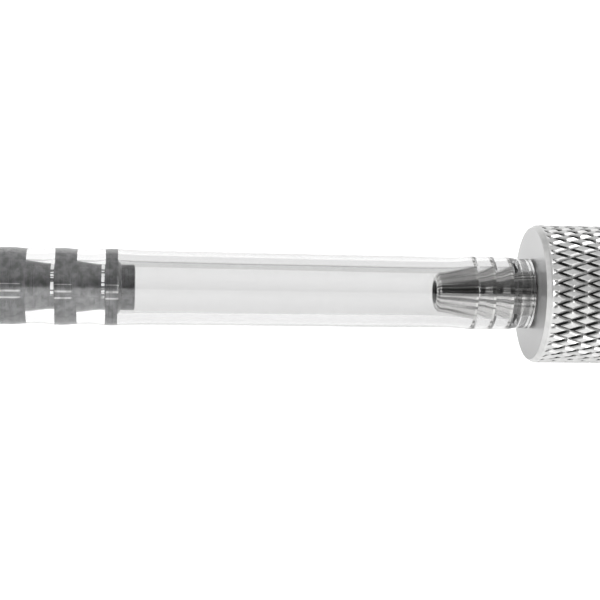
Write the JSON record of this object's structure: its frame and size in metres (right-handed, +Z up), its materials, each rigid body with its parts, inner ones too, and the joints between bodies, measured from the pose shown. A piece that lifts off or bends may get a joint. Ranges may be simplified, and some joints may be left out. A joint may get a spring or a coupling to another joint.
{
  "type": "in-line fuel sampler",
  "caption": "Hand-held in-line fuel sampler: a clear sight tube between a knurled swivel head with a drain-opening pin and a small lever ball valve with a hose spout.",
  "frame": {"origin": "middle of the length, on the surface that the sampler lies on", "axes": "+X along the sight tube towards the knurled swivel head and its probe mouth, +Z up through the valve stem"},
  "size_m": [0.1462, 0.0208, 0.0288],
  "materials": {
    "clear_pvc": "clear flexible tube, polished",
    "dark_anodised": "dark grey anodised, machined",
    "nickel_plate": "bright nickel plate, turned",
    "nut_aluminium": "clear anodised, knurled, satin",
    "stainless": "bright stainless, machined",
    "spring_washer_steel": "plain",
    "ptfe": "white, waxy",
    "black_rubber": "black nitrile, matt",
    "brown_rubber": "dark brown fluoroelastomer, matt",
    "sleeve_vinyl": "dipped vinyl, satin"
  },
  "bodies": {
    "chamber": {"sight_tube": "clear_pvc", "hose_tail": "dark_anodised", "tail_seal_ring": "black_rubber", "valve_body": "dark_anodised", "outlet_spout": "dark_anodised", "front_seat": "ptfe", "rear_seat": "ptfe", "stem_packing": "ptfe", "gland_nut": "stainless", "stop_pin": "stainless", "barbed_nipple": "nickel_plate"},
    "valve_lever": {"valve_ball": "stainless", "valve_stem": "stainless", "lever": "stainless", "lever_sleeve": "sleeve_vinyl", "lever_washer": "spring_washer_steel", "lever_nut": "stainless"},
    "swivel_head": {"swivel_nut": "nut_aluminium", "thrust_washer": "ptfe", "swivel_seal_ring": "black_rubber", "probe_head": "nut_aluminium", "pin_spider": "stainless", "drain_pin": "stainless", "probe_seal": "brown_rubber"}
  },
  "joints": [
    {"name": "lever_turn", "type": "hinge", "parent": "chamber", "child": "valve_lever", "pos_m": [-0.05257, 0, 0.0091], "axis": [0, 0, 1], "range_deg": [0, 90]},
    {"name": "head_swivel", "type": "hinge", "parent": "chamber", "child": "swivel_head", "pos_m": [0.03827, 0, 0.0091], "axis": [1, 0, 0], "continuous": true}
  ]
}
